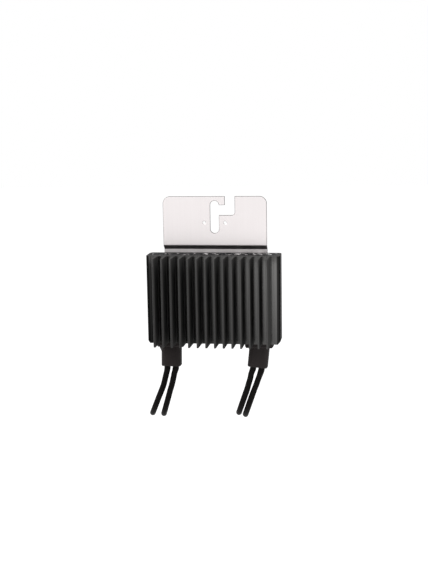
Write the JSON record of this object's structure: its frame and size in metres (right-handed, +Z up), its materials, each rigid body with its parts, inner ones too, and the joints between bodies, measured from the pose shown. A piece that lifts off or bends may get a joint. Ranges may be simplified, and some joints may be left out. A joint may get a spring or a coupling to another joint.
{
  "type": "power optimizer",
  "caption": "Finned black converter box for a solar panel, filled with resin, on a bright bent bracket with a hook slot, with stiff leads from two rubber boots.",
  "frame": {"origin": "centre of the round hanging seat at the top of the bracket slot, on the rear face of the bracket plate", "axes": "+Z up, +X to the right seen from the fins, +Y to the rear, towards what the bracket hangs on"},
  "size_m": [0.1349, 0.099, 0.2214],
  "materials": {
    "black_anodised": "satin black anodised extrusion",
    "bracket_steel": "bright stainless sheet with a fine upright grain",
    "rivet_steel": "satin rivet steel",
    "boot_rubber": "matt black moulded rubber",
    "black_nylon": "matt black moulded plastic",
    "board_laminate": "green board laminate",
    "pad_silicone": "grey thermal silicone",
    "chip_epoxy": "matt black moulding epoxy",
    "ferrite": "dark grey ferrite",
    "copper": "copper wire",
    "capacitor_film": "blue film capacitor case",
    "tinned_contact": "tin-plated contact metal",
    "potting_resin": "glossy black casting resin",
    "lead_jacket": "black cable jacket with a slight sheen",
    "connector_plastic": "matt black connector plastic"
  },
  "bodies": {
    "root": {"heat_sink_housing": "black_anodised", "mounting_bracket": "bracket_steel", "bracket_rivets": "rivet_steel", "bottom_end_cap": "black_nylon", "end_cap_gasket": "boot_rubber", "left_boot": "boot_rubber", "right_boot": "boot_rubber", "circuit_board": "board_laminate", "thermal_pad": "pad_silicone", "power_transistors": "chip_epoxy", "inductor_cores": "ferrite", "inductor_windings": "copper", "input_capacitors": "capacitor_film", "output_capacitors": "capacitor_film", "controller_chip": "chip_epoxy", "signal_transformer": "ferrite", "current_shunt": "tinned_contact", "terminal_posts": "tinned_contact", "lead_cores": "copper", "lead_tails": "lead_jacket", "potting_resin": "potting_resin", "input_lead_a": "lead_jacket", "input_lead_b": "lead_jacket", "output_lead_a": "lead_jacket", "output_lead_b": "lead_jacket", "output_coil_a": "lead_jacket", "output_coil_b": "lead_jacket", "output_tail_a": "lead_jacket", "output_tail_b": "lead_jacket", "coil_ties": "black_nylon", "input_pin_nut": "connector_plastic", "input_pin_barrel": "connector_plastic", "input_pin_contact": "tinned_contact", "input_socket_nut": "connector_plastic", "input_socket_barrel": "connector_plastic", "input_socket_contact": "tinned_contact", "output_pin_nut": "connector_plastic", "output_pin_barrel": "connector_plastic", "output_pin_contact": "tinned_contact", "output_socket_nut": "connector_plastic", "output_socket_barrel": "connector_plastic", "output_socket_contact": "tinned_contact"}
  },
  "joints": []
}
